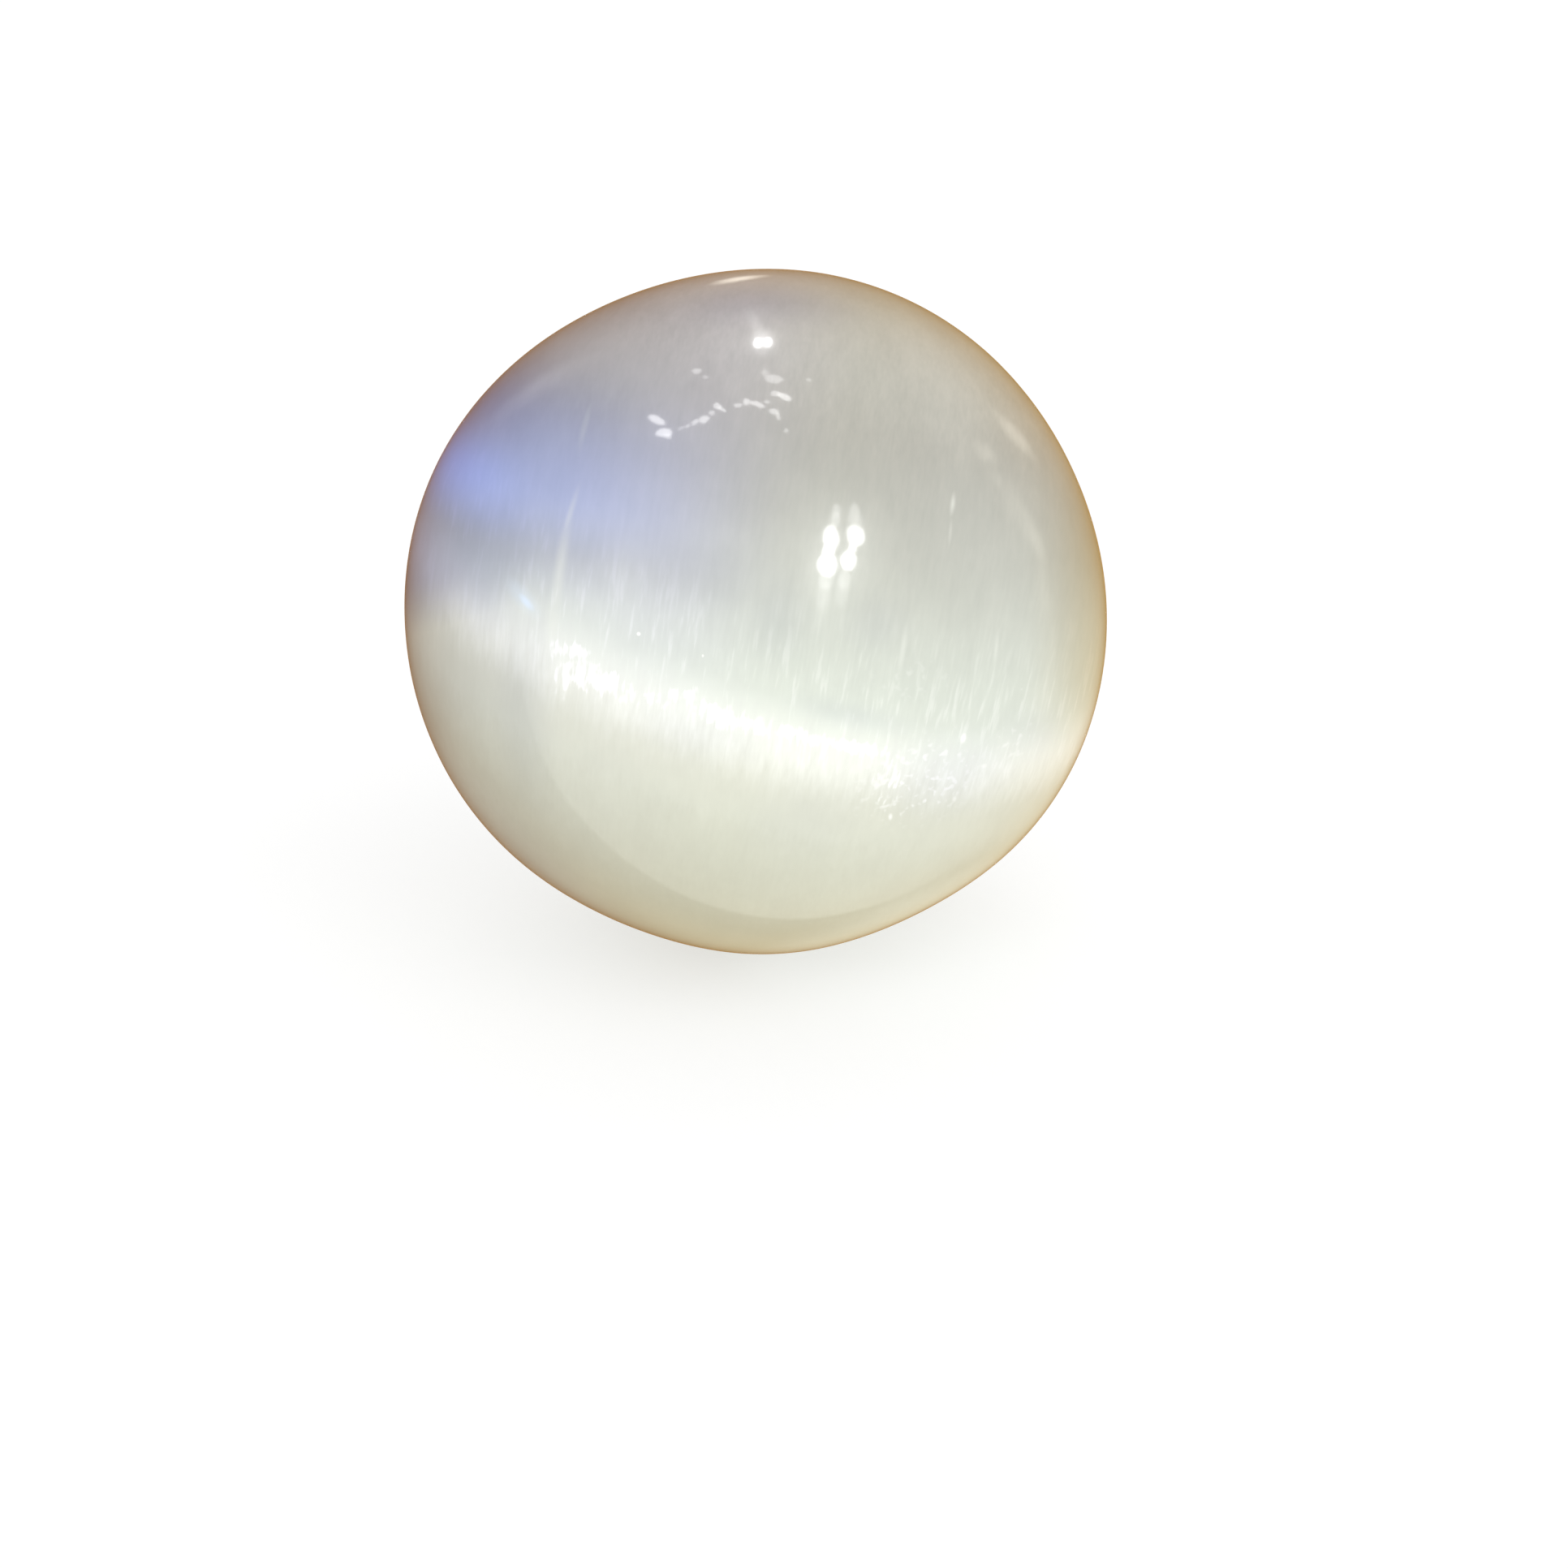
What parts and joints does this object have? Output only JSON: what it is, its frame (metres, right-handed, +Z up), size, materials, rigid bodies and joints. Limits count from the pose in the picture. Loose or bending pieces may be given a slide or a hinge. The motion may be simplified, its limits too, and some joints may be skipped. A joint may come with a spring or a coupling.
{
  "type": "selenite sphere",
  "caption": "Polished ball of fibrous selenite, hand-ground and slightly out of round, standing on a tiny flat foot.",
  "frame": {"origin": "on the surface that the ball stands on, under the middle of the ball, at the foot", "axes": "+Z up, front of the ball towards -Y, +X to the right when the front is faced, along the ball's largest width"},
  "size_m": [0.05, 0.0494, 0.0486],
  "materials": {
    "selenite": "high polish over milky, silky fibres with a white band of sheen"
  },
  "bodies": {
    "root": {"sphere": "selenite"}
  },
  "joints": []
}
